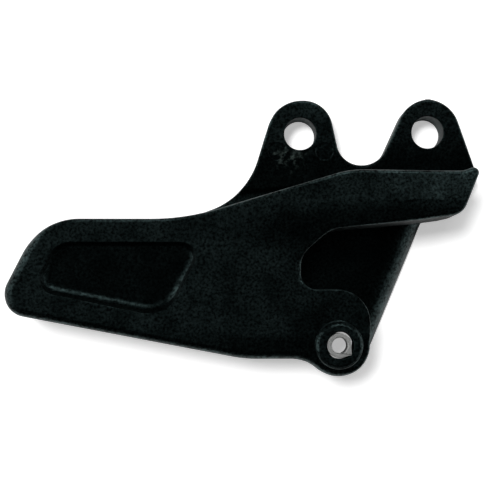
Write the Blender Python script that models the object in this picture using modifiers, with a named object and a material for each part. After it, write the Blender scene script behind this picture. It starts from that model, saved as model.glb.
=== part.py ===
"""Motorcycle chain guide: a one-piece moulded body and the split steel sleeve in its lower boss.

The guide lies on its far wall, with the near wall up. Lengths are in metres, +Z is up. Outlines are drawn
round the axis of the lower bolt, with +X towards the chain's way in and +Y towards the ears, and at the end
the finished pieces are moved so that the middle of the underside is the origin.
"""

import math

import bmesh
import bpy

MM = 0.001

# Levels over the table, far wall first
FAR_WALL = 10.0 * MM
EAR_THICKNESS = 14.0 * MM
PLATE_LEVEL = 36.5 * MM
RIDGE_RISE = 3.5 * MM
NEAR_WALL = 5.5 * MM

# Near wall: tail
TAIL_REACH = 141.0 * MM
TAIL_CORNER_Y = 15.5 * MM
TAIL_CORNER_ROUND = 8.8 * MM
TAIL_SLANT = math.radians(62.6)
TAIL_TOP_Y = 52.0 * MM
TAIL_TOP_ROUND = 20.0 * MM
SHOULDER_X = -64.1 * MM
SHOULDER_ROUND = 95.0 * MM

# Near wall: keel, the lower edge from the tail to the boss
KEEL_BEND_X = -41.5 * MM
KEEL_LEVEL = -5.5 * MM
KEEL_BEND_ROUND = 60.0 * MM
KEEL_FILLET = 12.0 * MM

# Near wall: strip along the chain's way in
STRIP_BEND_X = 4.4 * MM
STRIP_BEND_ROUND = 40.0 * MM
STRIP_TOP_Y = 73.2 * MM
STRIP_LENGTH = 59.8 * MM
STRIP_END_SLANT = math.radians(64.7)
STRIP_END_ROUND = 4.0 * MM
STRIP_LOWER_Y = 53.8 * MM
STRIP_LOWER_BEND = (33.0 * MM, 51.3 * MM)

# Window between the strip and the boss, open to the right
WINDOW_TOP = (-3.5 * MM, 48.2 * MM)
WINDOW_TOP_ROUND = 14.0 * MM
WINDOW_LEFT_X = -15.8 * MM
WINDOW_SHOULDER_Y = 37.3 * MM
WINDOW_SHOULDER_ROUND = 10.0 * MM
WINDOW_SILL_Y = 23.2 * MM
WINDOW_SILL_ROUND = 6.5 * MM
LOBE_ROUND = 14.0 * MM
LOBE_SIDE_X = 13.0 * MM

# Lower boss and sleeve
BOSS_RADIUS = 12.6 * MM
BOSS_FACE_RADIUS = 8.6 * MM
BOSS_FACE_RISE = 1.4 * MM
BOSS_FACE_SLOPE = 0.9 * MM
BOSS_FACE_ROOT = 0.2 * MM
SLEEVE_RADIUS = 5.1 * MM
SLEEVE_BORE_RADIUS = 3.25 * MM
SLEEVE_LENGTH = 8.0 * MM
SLEEVE_PROUD = 0.2 * MM
SLEEVE_SPLIT = 0.4 * MM
SLEEVE_SPLIT_ANGLE = math.radians(-42.0)
SLEEVE_CHAMFER = 0.4 * MM
SLEEVE_CLEARANCE = 0.3 * MM
BOLT_WELL_RADIUS = 9.0 * MM

# Slide floor under the chain
SLIDE_END = (51.3 * MM, 57.0 * MM)
SLIDE_SLOPE = math.radians(5.2)
CHAIN_SPACE = 17.0 * MM

# Ears on the far wall
REAR_EAR = (-14.1 * MM, 90.6 * MM)
REAR_EAR_RADIUS = 14.0 * MM
REAR_EAR_SIDES = (math.radians(162.3), math.radians(17.0))
FRONT_EAR = (41.3 * MM, 91.6 * MM)
FRONT_EAR_RADIUS = 13.4 * MM
FRONT_EAR_SIDES = (math.radians(155.4), math.radians(20.6))
EAR_HOLE_RADIUS = 7.2 * MM
EAR_VALLEY_Y = 76.5 * MM
VALLEY_ROUNDS = (8.5 * MM, 11.0 * MM)
REAR_FLANK = (-37.4 * MM, 62.8 * MM)
REAR_FLANK_SLOPE = math.radians(20.0)
REAR_FLANK_ROUND = 31.5 * MM
FRONT_FLANK_Y = 71.0 * MM
FRONT_FLANK_ROUND = 3.0 * MM
EAR_EDGE = 1.4 * MM

# Web behind the window
WEB_FOOT_X = 11.9 * MM
WEB_FOOT_ROUND = 9.0 * MM
WEB_SLANT = math.radians(67.0)

# Relief of the near wall: a ridge along the strip that falls to the plate below it
RIDGE_CREST_Y = 59.0 * MM
RIDGE_FOOT_Y = 38.0 * MM
RIDGE_START_X = -66.0 * MM
RIDGE_FULL_X = -8.0 * MM
RELIEF_STEP = 4.0 * MM

# Sunk pad on the tail
PAD_SINK = 2.8 * MM
PAD_FILLET = 2.2 * MM
PAD_TOP_Y = 42.4 * MM
PAD_LEFT_X = -124.9 * MM
PAD_LEFT_Y = 24.0 * MM
PAD_RIGHT_X = -72.1 * MM
PAD_RIGHT_Y = 13.1 * MM
PAD_ROUNDS = (6.0 * MM, 13.0 * MM, 5.5 * MM, 8.8 * MM)

# Pockets that core the block under the slide floor, open to the far side
SLIDE_THICKNESS = 4.5 * MM
KEEL_WALL = 4.0 * MM
POCKET_START_X = -126.0 * MM
POCKET_END_X = -20.6 * MM
POCKET_PITCH = 18.0 * MM
POCKET_ROW = 20.0 * MM
RIB = 2.6 * MM
POCKET_ROUND = 2.0 * MM

# Drawing
ARC_STEP = math.radians(10.0)
SHARP_EDGE = math.radians(30.0)
OVERRUN = 5.0 * MM


def meet(point, angle, other, other_angle):
    """Where two lines cross, each given by a point on it and its direction."""
    dx, dy = math.cos(angle), math.sin(angle)
    ex, ey = math.cos(other_angle), math.sin(other_angle)
    along = ((other[0] - point[0]) * ey - (other[1] - point[1]) * ex) / (dx * ey - dy * ex)
    return point[0] + along * dx, point[1] + along * dy


def tangent(centre, radius, normal):
    """A circle's tangent line with this outward normal, as a point and a direction."""
    point = (centre[0] + radius * math.cos(normal), centre[1] + radius * math.sin(normal))
    return point, normal - math.pi / 2


def arc(centre, radius, start, turn):
    """Points on an arc from its start angle through a signed turn."""
    steps = max(2, math.ceil(abs(turn) / ARC_STEP))
    angles = [start + turn * i / steps for i in range(steps + 1)]
    return [(centre[0] + radius * math.cos(a), centre[1] + radius * math.sin(a)) for a in angles]


def rounded(corners):
    """A closed outline from corners (x, y, radius), with each corner turned into an arc."""
    points = []
    for i, (x, y, radius) in enumerate(corners):
        before, after = corners[i - 1], corners[(i + 1) % len(corners)]
        heading = math.atan2(y - before[1], x - before[0])
        turn = math.atan2(after[1] - y, after[0] - x) - heading
        turn = math.remainder(turn, 2 * math.pi)
        if radius == 0:
            points.append((x, y))
            continue
        reach = radius * math.tan(abs(turn) / 2)
        side = math.copysign(math.pi / 2, turn)
        start = (x - reach * math.cos(heading), y - reach * math.sin(heading))
        centre = (
            start[0] + radius * math.cos(heading + side),
            start[1] + radius * math.sin(heading + side),
        )
        points += arc(centre, radius, heading - side, turn)
    return points


def slide_y(x):
    """Height of the slide floor's face on the line of the chain."""
    return SLIDE_END[1] - (SLIDE_END[0] - x) * math.tan(SLIDE_SLOPE)


def keel_y(x):
    """Lower edge of the near wall between the tail and the boss."""
    slope = (KEEL_LEVEL - TAIL_CORNER_Y) / (KEEL_BEND_X + TAIL_REACH)
    return max(KEEL_LEVEL, TAIL_CORNER_Y + slope * (x + TAIL_REACH))


def ease(t):
    """Smooth rise from 0 to 1."""
    t = min(max(t, 0.0), 1.0)
    return t * t * (3 - 2 * t)


def near_face(x, y):
    """Height of the near wall's outer face."""
    along = ease((x - RIDGE_START_X) / (RIDGE_FULL_X - RIDGE_START_X))
    up = ease((y - RIDGE_FOOT_Y) / (RIDGE_CREST_Y - RIDGE_FOOT_Y))
    return PLATE_LEVEL + RIDGE_RISE * along * up


def boss_outline():
    """The keel's fillet and the boss's round, from the keel to the boss's right side."""
    drop = KEEL_FILLET - KEEL_LEVEL
    middle = (-math.sqrt((BOSS_RADIUS + KEEL_FILLET) ** 2 - drop**2), -drop)
    contact = math.atan2(middle[1], middle[0])
    fillet = arc(middle, KEEL_FILLET, math.pi / 2, contact + math.pi - math.pi / 2)
    return fillet + arc((0.0, 0.0), BOSS_RADIUS, contact, -contact)[1:]


def near_outline():
    """Outline of the near wall, from the tail's tip along the keel, round the boss, window and strip."""
    tip = (-TAIL_REACH, TAIL_CORNER_Y)
    tail_top = meet(tip, TAIL_SLANT, (0.0, TAIL_TOP_Y), 0.0)
    strip_end = (STRIP_LENGTH, STRIP_TOP_Y)
    strip_low = meet(strip_end, STRIP_END_SLANT, (0.0, STRIP_LOWER_Y), 0.0)
    before_boss = rounded(
        [
            (*tail_top, TAIL_TOP_ROUND),
            (*tip, TAIL_CORNER_ROUND),
            (KEEL_BEND_X, KEEL_LEVEL, KEEL_BEND_ROUND),
            (0.0, KEEL_LEVEL, 0.0),
            (0.0, TAIL_TOP_Y, 0.0),
        ]
    )[:-2]
    after_boss = rounded(
        [
            (BOSS_RADIUS, 0.0, 0.0),
            (LOBE_SIDE_X, WINDOW_SILL_Y, LOBE_ROUND),
            (WINDOW_LEFT_X, WINDOW_SILL_Y, WINDOW_SILL_ROUND),
            (WINDOW_LEFT_X, WINDOW_SHOULDER_Y, WINDOW_SHOULDER_ROUND),
            (*WINDOW_TOP, WINDOW_TOP_ROUND),
            (*STRIP_LOWER_BEND, 0.0),
            (*strip_low, STRIP_END_ROUND),
            (*strip_end, STRIP_END_ROUND),
            (STRIP_BEND_X, STRIP_TOP_Y, STRIP_BEND_ROUND),
            (SHOULDER_X, TAIL_TOP_Y, SHOULDER_ROUND),
            (*tail_top, 0.0),
        ]
    )[:-1]
    return before_boss + boss_outline() + after_boss


def far_outline():
    """Outline of the far wall where it shows beyond the near one: both ears, their valley and the web."""
    rear_left = tangent(REAR_EAR, REAR_EAR_RADIUS, REAR_EAR_SIDES[0])
    rear_top = tangent(REAR_EAR, REAR_EAR_RADIUS, math.pi / 2)
    rear_right = tangent(REAR_EAR, REAR_EAR_RADIUS, REAR_EAR_SIDES[1])
    front_left = tangent(FRONT_EAR, FRONT_EAR_RADIUS, FRONT_EAR_SIDES[0])
    front_top = tangent(FRONT_EAR, FRONT_EAR_RADIUS, math.pi / 2)
    front_right = tangent(FRONT_EAR, FRONT_EAR_RADIUS, FRONT_EAR_SIDES[1])
    valley = ((0.0, EAR_VALLEY_Y), 0.0)
    flank = (REAR_FLANK, REAR_FLANK_SLOPE)
    inner_x = SHOULDER_X
    inner_y = REAR_FLANK[1] + (inner_x - REAR_FLANK[0]) * math.tan(REAR_FLANK_SLOPE)
    web_foot = (WEB_FOOT_X, -BOSS_RADIUS)
    web_top = meet(web_foot, WEB_SLANT, SLIDE_END, SLIDE_SLOPE)
    return rounded(
        [
            (inner_x, inner_y, 0.0),
            (inner_x, keel_y(inner_x) + KEEL_WALL, 0.0),
            (0.0, KEEL_LEVEL + KEEL_WALL, 0.0),
            (0.0, -BOSS_RADIUS, 0.0),
            (*web_foot, WEB_FOOT_ROUND),
            (*web_top, 0.0),
            (SLIDE_END[0], SLIDE_END[1] - KEEL_WALL / 2, 0.0),
            (*meet(*front_right, (0.0, FRONT_FLANK_Y), 0.0), FRONT_FLANK_ROUND),
            (*meet(*front_right, *front_top), FRONT_EAR_RADIUS),
            (*meet(*front_top, *front_left), FRONT_EAR_RADIUS),
            (*meet(*front_left, *valley), VALLEY_ROUNDS[1]),
            (*meet(*valley, *rear_right), VALLEY_ROUNDS[0]),
            (*meet(*rear_right, *rear_top), REAR_EAR_RADIUS),
            (*meet(*rear_top, *rear_left), REAR_EAR_RADIUS),
            (*meet(*rear_left, *flank), REAR_FLANK_ROUND),
        ]
    )


def pad_outline():
    """Outline of the sunk pad, whose sides follow the tail's end, the keel and the window."""
    left = (PAD_LEFT_X, PAD_LEFT_Y)
    right = (PAD_RIGHT_X, PAD_RIGHT_Y)
    top = (0.0, PAD_TOP_Y)
    return rounded(
        [
            (*left, PAD_ROUNDS[0]),
            (*right, PAD_ROUNDS[1]),
            (*meet(right, TAIL_SLANT, top, 0.0), PAD_ROUNDS[2]),
            (*meet(left, TAIL_SLANT, top, 0.0), PAD_ROUNDS[3]),
        ]
    )


def pocket_outlines():
    """Outlines of the pockets: columns along the block, split into rows where it is tall."""
    outlines = []
    columns = max(1, round((POCKET_END_X - POCKET_START_X + RIB) / POCKET_PITCH))
    pitch = (POCKET_END_X - POCKET_START_X + RIB) / columns
    for column in range(columns):
        left = POCKET_START_X + column * pitch
        right = left + pitch - RIB
        floors = [keel_y(x) + KEEL_WALL for x in (left, right)]
        roofs = [slide_y(x) - SLIDE_THICKNESS for x in (left, right)]
        rows = max(1, round((roofs[1] - floors[1]) / POCKET_ROW))
        for row in range(rows):
            low = [f + (r - f + RIB) * row / rows for f, r in zip(floors, roofs)]
            high = [f + (r - f + RIB) * (row + 1) / rows - RIB for f, r in zip(floors, roofs)]
            corners = [(left, low[0]), (right, low[1]), (right, high[1]), (left, high[0])]
            outlines.append(rounded([(*corner, POCKET_ROUND) for corner in corners]))
    return outlines


def new_collection(name):
    """A collection in the scene."""
    made = bpy.data.collections.new(name)
    bpy.context.scene.collection.children.link(made)
    return made


def finish(name, colour, roughness, metallic):
    """A Principled material with one colour."""
    made = bpy.data.materials.new(name)
    made.use_nodes = True
    surface = made.node_tree.nodes["Principled BSDF"]
    surface.inputs["Base Color"].default_value = (*colour, 1.0)
    surface.inputs["Roughness"].default_value = roughness
    surface.inputs["Metallic"].default_value = metallic
    return made


def mesh_of(curve_object):
    """The mesh of a curve object, with its caps welded and each flat cap one face."""
    graph = bpy.context.evaluated_depsgraph_get()
    mesh = bpy.data.meshes.new_from_object(curve_object.evaluated_get(graph))
    work = bmesh.new()
    work.from_mesh(mesh)
    bmesh.ops.remove_doubles(work, verts=work.verts, dist=0.00001)
    bmesh.ops.dissolve_limit(
        work, angle_limit=math.radians(0.5), verts=work.verts, edges=work.edges
    )
    bmesh.ops.recalc_face_normals(work, faces=work.faces)
    work.to_mesh(mesh)
    work.free()
    return mesh


def plate(name, outline, low, high, home, edge=0.0, segments=2):
    """A flat outline with a thickness, from low to high, its rims rounded by edge."""
    drawing = bpy.data.curves.new(name, "CURVE")
    drawing.dimensions = "2D"
    drawing.fill_mode = "BOTH"
    drawing.extrude = (high - low) / 2
    spline = drawing.splines.new("POLY")
    spline.points.add(len(outline) - 1)
    for point, (x, y) in zip(spline.points, outline):
        point.co = (x, y, 0.0, 1.0)
    spline.use_cyclic_u = True
    sketch = bpy.data.objects.new(name + "_sketch", drawing)
    bpy.context.scene.collection.objects.link(sketch)
    made = bpy.data.objects.new(name, mesh_of(sketch))
    bpy.data.objects.remove(sketch)
    made.location.z = (low + high) / 2
    home.objects.link(made)
    if edge > 0:
        rims = made.modifiers.new("rims", "BEVEL")
        rims.width = edge
        rims.segments = segments
        rims.limit_method = "ANGLE"
        rims.angle_limit = math.radians(60.0)
    return made


def turned(name, profile, centre, home, steps=48):
    """A turned solid from a profile (radius, height) that runs down its outer side, top to bottom."""
    work = bmesh.new()
    points = [work.verts.new((radius, 0.0, height)) for radius, height in profile]
    for start, end in zip(points, points[1:]):
        work.edges.new((start, end))
    mesh = bpy.data.meshes.new(name)
    work.to_mesh(mesh)
    work.free()
    made = bpy.data.objects.new(name, mesh)
    made.location = (centre[0], centre[1], 0.0)
    home.objects.link(made)
    screw = made.modifiers.new("turn", "SCREW")
    screw.steps = steps
    screw.render_steps = steps
    screw.use_merge_vertices = True
    screw.merge_threshold = 0.00001
    return made


def relief_block(name, places, lift, far_level, home):
    """A block whose one face follows the near wall's relief, moved by lift, and whose other is level.

    places is a function from a grid's u and v in 0..1 to x and y.
    """
    columns = math.ceil(math.dist(places(0, 0), places(1, 0)) / RELIEF_STEP)
    rows = math.ceil(math.dist(places(0, 0), places(0, 1)) / RELIEF_STEP)
    bpy.ops.mesh.primitive_grid_add(x_subdivisions=columns, y_subdivisions=rows, size=1.0)
    made = bpy.context.object
    made.name = name
    work = bmesh.new()
    work.from_mesh(made.data)
    for vert in work.verts:
        x, y = places(vert.co.x + 0.5, vert.co.y + 0.5)
        vert.co = (x, y, near_face(x, y) + lift)
    lifted = bmesh.ops.extrude_face_region(work, geom=list(work.faces))["geom"]
    for vert in [part for part in lifted if isinstance(part, bmesh.types.BMVert)]:
        vert.co.z = far_level
    bmesh.ops.dissolve_limit(
        work, angle_limit=math.radians(0.01), verts=work.verts, edges=work.edges
    )
    bmesh.ops.recalc_face_normals(work, faces=work.faces)
    work.to_mesh(made.data)
    work.free()
    for old in list(made.users_collection):
        old.objects.unlink(made)
    home.objects.link(made)
    return made


def combine(target, other, operation):
    """Adds a Boolean to target; the other object becomes a guide that is not rendered."""
    step = target.modifiers.new(other.name, "BOOLEAN")
    step.operation = operation
    step.solver = "EXACT"
    step.object = other
    other.hide_render = True
    other.display_type = "WIRE"


def chain_space(u, v):
    """Place in the plan of the space over the slide floor: u runs along the slide, v away from it."""
    left = (-TAIL_REACH - OVERRUN, slide_y(-TAIL_REACH - OVERRUN))
    length = (STRIP_LENGTH + 2 * OVERRUN - left[0]) / math.cos(SLIDE_SLOPE)
    depth = 2 * CHAIN_SPACE
    along = (math.cos(SLIDE_SLOPE), math.sin(SLIDE_SLOPE))
    return (
        left[0] + u * length * along[0] - v * depth * along[1],
        left[1] + u * length * along[1] + v * depth * along[0],
    )


def over_guide(u, v):
    """Place in the plan of a rectangle that covers the whole near wall."""
    low = (-TAIL_REACH - OVERRUN, -BOSS_RADIUS - OVERRUN)
    high = (STRIP_LENGTH + OVERRUN, STRIP_TOP_Y + OVERRUN)
    return low[0] + u * (high[0] - low[0]), low[1] + v * (high[1] - low[1])


def guide_body(home, guides):
    """The moulded body: block and near wall in one, far wall with ears, boss, and what is cut out."""
    crest = PLATE_LEVEL + RIDGE_RISE
    body = plate("guide_body", near_outline(), 0.0, crest + OVERRUN, home)
    combine(body, relief_block("near_relief", over_guide, 0.0, crest + 2 * OVERRUN, guides), "DIFFERENCE")
    combine(body, relief_block("chain_way", chain_space, -NEAR_WALL, FAR_WALL, guides), "DIFFERENCE")

    far_wall = plate("far_wall", far_outline(), 0.0, EAR_THICKNESS, guides, EAR_EDGE)
    under_ears = [
        (-TAIL_REACH, slide_y(-TAIL_REACH) + CHAIN_SPACE),
        (-TAIL_REACH, -2 * BOSS_RADIUS),
        (STRIP_LENGTH + 2 * OVERRUN, -2 * BOSS_RADIUS),
        (STRIP_LENGTH + 2 * OVERRUN, slide_y(STRIP_LENGTH + 2 * OVERRUN) + CHAIN_SPACE),
    ]
    combine(far_wall, plate("ear_step", under_ears, FAR_WALL, 2 * EAR_THICKNESS, guides), "DIFFERENCE")
    for name, centre in (("rear_ear_hole", REAR_EAR), ("front_ear_hole", FRONT_EAR)):
        hole = [(0, 2 * EAR_THICKNESS), (EAR_HOLE_RADIUS, 2 * EAR_THICKNESS)]
        hole += [(EAR_HOLE_RADIUS, -OVERRUN), (0, -OVERRUN)]
        combine(far_wall, turned(name, hole, centre, guides), "DIFFERENCE")
    combine(body, far_wall, "UNION")

    face = PLATE_LEVEL + BOSS_FACE_RISE
    foot_radius = BOSS_FACE_RADIUS + BOSS_FACE_SLOPE
    boss_face = [(0, face), (BOSS_FACE_RADIUS, face), (foot_radius, PLATE_LEVEL - BOSS_FACE_ROOT)]
    boss_face += [(foot_radius, PLATE_LEVEL - NEAR_WALL / 2), (0, PLATE_LEVEL - NEAR_WALL / 2)]
    combine(body, turned("boss_face", boss_face, (0, 0), guides), "UNION")

    sleeve_low = face + SLEEVE_PROUD - SLEEVE_LENGTH
    hole_radius = SLEEVE_RADIUS + SLEEVE_CLEARANCE
    bore = [(0, face + OVERRUN), (hole_radius, face + OVERRUN), (hole_radius, sleeve_low)]
    bore += [(BOLT_WELL_RADIUS, sleeve_low), (BOLT_WELL_RADIUS, -OVERRUN), (0, -OVERRUN)]
    combine(body, turned("boss_bore", bore, (0, 0), guides), "DIFFERENCE")

    pad_level = PLATE_LEVEL - PAD_SINK
    pad = plate("pad_sink", pad_outline(), pad_level, crest + OVERRUN, guides, PAD_FILLET)
    combine(body, pad, "DIFFERENCE")
    for number, outline in enumerate(pocket_outlines(), 1):
        pocket = plate(f"pocket_{number:02d}", outline, -OVERRUN, PLATE_LEVEL - NEAR_WALL, guides)
        combine(body, pocket, "DIFFERENCE")
    return body


def boss_sleeve(home, guides):
    """The rolled steel sleeve, split along its length, with chamfered ends."""
    top = PLATE_LEVEL + BOSS_FACE_RISE + SLEEVE_PROUD
    low = top - SLEEVE_LENGTH
    wide = SLEEVE_BORE_RADIUS + SLEEVE_CHAMFER
    profile = [(wide, top), (SLEEVE_RADIUS, top), (SLEEVE_RADIUS, low), (wide, low)]
    profile += [(SLEEVE_BORE_RADIUS, low + SLEEVE_CHAMFER), (SLEEVE_BORE_RADIUS, top - SLEEVE_CHAMFER)]
    sleeve = turned("boss_sleeve", profile + profile[:1], (0, 0), home)
    half = SLEEVE_SPLIT / 2
    slot = [(0, -half), (2 * SLEEVE_RADIUS, -half), (2 * SLEEVE_RADIUS, half), (0, half)]
    cutter = plate("sleeve_split", slot, low - OVERRUN, top + OVERRUN, guides)
    cutter.rotation_euler.z = SLEEVE_SPLIT_ANGLE
    combine(sleeve, cutter, "DIFFERENCE")
    return sleeve


def shaded(piece):
    """Applies a piece's modifiers and shades it smooth between its sharp edges."""
    graph = bpy.context.evaluated_depsgraph_get()
    mesh = bpy.data.meshes.new_from_object(piece.evaluated_get(graph))
    piece.modifiers.clear()
    piece.data = mesh
    mesh.shade_smooth()
    mesh.set_sharp_from_angle(angle=SHARP_EDGE)
    return piece


def centre_on_table(pieces, guides):
    """Moves the pieces and their guides so that the middle of the underside is the origin."""
    bpy.context.view_layer.update()
    corners = [piece.matrix_world @ vert.co for piece in pieces for vert in piece.data.vertices]
    lows = [min(corner[axis] for corner in corners) for axis in range(3)]
    highs = [max(corner[axis] for corner in corners) for axis in range(3)]
    for item in list(pieces) + list(guides.objects):
        item.location.x -= (lows[0] + highs[0]) / 2
        item.location.y -= (lows[1] + highs[1]) / 2
        item.location.z -= lows[2]


def main():
    """Builds the chain guide in an empty scene."""
    for item in list(bpy.data.objects):
        bpy.data.objects.remove(item)
    home = new_collection("chain_guide")
    guides = new_collection("guides")
    guides.hide_render = True

    nylon = finish("black_nylon", (0.012, 0.014, 0.014), 0.45, 0.0)
    steel = finish("zinc_plated_steel", (0.58, 0.60, 0.60), 0.35, 1.0)

    body = shaded(guide_body(home, guides))
    sleeve = shaded(boss_sleeve(home, guides))
    body.data.materials.clear()
    body.data.materials.append(nylon)
    sleeve.data.materials.append(steel)
    centre_on_table([body, sleeve], guides)


main()
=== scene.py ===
"""Motorcycle chain guide on a white table: one moulded nylon body with a rolled steel sleeve in its lower boss.

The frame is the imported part's own, in metres with +Z up. The guide's shapes are worked out in millimetres round the
axis of the lower bolt, +X towards the chain's way in and +Y towards the ears, and are moved into the frame last.
"""

import logging
import math
from abc import ABC, abstractmethod
from collections.abc import Callable, Sequence
from dataclasses import dataclass, field
from enum import Enum

import bpy
import numpy as np
from mathutils import Matrix, Vector

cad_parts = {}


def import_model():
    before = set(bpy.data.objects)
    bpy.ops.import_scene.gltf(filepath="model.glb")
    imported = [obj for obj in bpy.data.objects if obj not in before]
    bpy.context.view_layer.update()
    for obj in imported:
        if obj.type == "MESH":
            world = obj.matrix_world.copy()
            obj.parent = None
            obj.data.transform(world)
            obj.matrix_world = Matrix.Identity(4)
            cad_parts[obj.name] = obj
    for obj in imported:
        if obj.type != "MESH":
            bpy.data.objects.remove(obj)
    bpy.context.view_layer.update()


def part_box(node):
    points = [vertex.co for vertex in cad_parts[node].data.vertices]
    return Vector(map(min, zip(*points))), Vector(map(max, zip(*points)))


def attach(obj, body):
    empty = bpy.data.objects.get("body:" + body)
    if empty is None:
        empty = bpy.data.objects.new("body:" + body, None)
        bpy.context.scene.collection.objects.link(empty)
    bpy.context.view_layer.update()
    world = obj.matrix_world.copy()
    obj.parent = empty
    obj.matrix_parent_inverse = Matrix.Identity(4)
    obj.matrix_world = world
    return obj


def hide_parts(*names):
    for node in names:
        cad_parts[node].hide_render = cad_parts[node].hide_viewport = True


LOG = logging.getLogger("chain_guide")
MM = 0.001
PICTURE_SIDE = 490
PICTURE_MIDDLE = (PICTURE_SIDE - 1) / 2
WHITE = (1.0, 1.0, 1.0, 1.0)
MULTIPLY = {"operation": "MULTIPLY"}
SMOOTH = {"interpolation_type": "SMOOTHSTEP"}

SETTLE_STEP = 0.05
SETTLE_MOST = 0.3
SLOPE_LEAST = 0.3
NORMAL_STEP = 0.06
NORMAL_REACH = 0.2

Array = np.ndarray
Axes = tuple[Array, Array, Array]
Corner = tuple[float, float, float]
Plan = dict[str, Array]
Point = tuple[float, float]
Line = tuple[Point, float]
Socket = bpy.types.NodeSocket


def ease(t: Array) -> Array:
    """Smooth rise from 0 to 1, three t squared less two t cubed, level outside 0 to 1."""
    t = np.clip(t, 0.0, 1.0)
    return t * t * (3.0 - 2.0 * t)


@dataclass(frozen=True)
class Ramp:
    """A smooth rise from 0 at its start to 1 one width further on. A negative width rises the other way."""

    start: float
    width: float

    def at(self, place: Array) -> Array:
        """The ramp's height at some places."""
        return ease((place - self.start) / self.width)


def both(a: Array, b: Array, radius: Array | float) -> Array:
    """What two solids share, with the edge between them rounded.

    Outside both faces it is the distance to an arc of that radius, elsewhere the larger of the two distances.

    Args:
        a: Signed distance to the first solid, negative inside.
        b: Signed distance to the second solid.
        radius: Radius of the rounded edge.

    Returns:
        Signed distance to the shared solid.
    """
    corner = np.hypot(np.maximum(a + radius, 0.0), np.maximum(b + radius, 0.0))
    return np.minimum(np.maximum(a, b), -radius) + corner


def either(a: Array, b: Array, radius: Array | float) -> Array:
    """Two solids joined, with a fillet of that radius in the angle between them."""
    return -both(-a, -b, radius)


def meet(first: Line, second: Line) -> Point:
    """Where two lines cross, each given as a point on it and its direction in radians."""
    (ax, ay), angle = first
    (bx, by), other = second
    dx, dy = math.cos(angle), math.sin(angle)
    ex, ey = math.cos(other), math.sin(other)
    along = ((bx - ax) * ey - (by - ay) * ex) / (dx * ey - dy * ex)
    return ax + along * dx, ay + along * dy


def level_line(y: float) -> Line:
    """The line along the guide at y."""
    return (0.0, y), 0.0


def tangent(centre: Point, radius: float, normal: float) -> Line:
    """A circle's tangent line with this outward normal."""
    point = (centre[0] + radius * math.cos(normal), centre[1] + radius * math.sin(normal))
    return point, normal - math.pi / 2


def arc(centre: Point, radius: float, start: float, turn: float) -> list[Point]:
    """Points every two degrees or so on an arc from its start angle through a signed turn."""
    angles = start + np.linspace(0.0, turn, max(2, math.ceil(abs(math.degrees(turn)) / 2.0)) + 1)
    return list(zip(centre[0] + radius * np.cos(angles), centre[1] + radius * np.sin(angles)))


def rounded(corners: Sequence[Corner]) -> list[Point]:
    """A closed outline whose corners are turned into arcs.

    Args:
        corners: Each corner as x, y and its radius, in order round the outline.

    Returns:
        The outline's points.
    """
    points: list[Point] = []
    for i, (x, y, radius) in enumerate(corners):
        before, after = corners[i - 1], corners[(i + 1) % len(corners)]
        heading = math.atan2(y - before[1], x - before[0])
        turn = math.remainder(math.atan2(after[1] - y, after[0] - x) - heading, 2 * math.pi)
        if radius == 0:
            points.append((x, y))
            continue
        reach = radius * math.tan(abs(turn) / 2)
        side = math.copysign(math.pi / 2, turn)
        start = (x - reach * math.cos(heading), y - reach * math.sin(heading))
        centre = (start[0] + radius * math.cos(heading + side), start[1] + radius * math.sin(heading + side))
        points += arc(centre, radius, heading - side, turn)
    return points


@dataclass
class Outline:
    """A closed flat outline."""

    points: list[Point]

    def distance(self, x: Array, y: Array) -> Array:
        """Signed distance in the plan, negative inside.

        The size is the least distance to any side, and the sign comes from counting the sides that a ray crosses.

        Args:
            x: Places along the guide.
            y: Places across it, of the same shape.

        Returns:
            The distances.
        """
        nearest = np.full(x.shape, np.inf)
        inside = np.zeros(x.shape, dtype=bool)
        for (ax, ay), (bx, by) in zip(self.points, self.points[1:] + self.points[:1]):
            ex, ey = bx - ax, by - ay
            span = ex * ex + ey * ey
            if span == 0:
                continue
            rx, ry = x - ax, y - ay
            along = np.clip((rx * ex + ry * ey) / span, 0.0, 1.0)
            np.minimum(nearest, (rx - along * ex) ** 2 + (ry - along * ey) ** 2, out=nearest)
            if ey != 0:
                inside ^= ((ay > y) != (by > y)) & (rx < ry * (ex / ey))
        return np.where(inside, -1.0, 1.0) * np.sqrt(nearest)


@dataclass
class Chart:
    """A quantity of the plan, worked out once on an even grid and read anywhere between its points."""

    values: Array
    corner: Point
    pitch: float

    @classmethod
    def drawn(cls, quantity: Callable[[Array, Array], Array], low: Point, high: Point, pitch: float) -> "Chart":
        """A chart of a quantity over a rectangle of the plan.

        Args:
            quantity: What to chart, as a function of x and y.
            low: The rectangle's least x and y.
            high: Its greatest x and y.
            pitch: The distance between grid points.

        Returns:
            The chart.
        """
        x, y = (np.arange(a, b + pitch, pitch) for a, b in zip(low, high))
        return cls(quantity(*np.meshgrid(x, y, indexing="ij")), low, pitch)

    def read(self, x: Array, y: Array) -> Array:
        """The quantity at some places, by cubic convolution over the sixteen grid points round each."""
        cells, shares = [], []
        for place, least, count in zip((x, y), self.corner, self.values.shape):
            at = np.clip((place - least) / self.pitch, 1.0, count - 3.001)
            cell = at.astype(int)
            t = at - cell
            cells.append(cell)
            shares.append(
                (
                    ((-0.5 * t + 1.0) * t - 0.5) * t,
                    (1.5 * t - 2.5) * t * t + 1.0,
                    ((-1.5 * t + 2.0) * t + 0.5) * t,
                    (0.5 * t - 0.5) * t * t,
                )
            )
        total = np.zeros(x.shape)
        for i in range(4):
            row = np.zeros(x.shape)
            for j in range(4):
                row += shares[1][j] * self.values[cells[0] + i - 1, cells[1] + j - 1]
            total += shares[0][i] * row
        return total


def placed(name: str, data: bpy.types.ID) -> bpy.types.Object:
    """A new object with this data, linked to the scene."""
    made = bpy.data.objects.new(name, data)
    bpy.context.scene.collection.objects.link(made)
    return made


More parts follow.
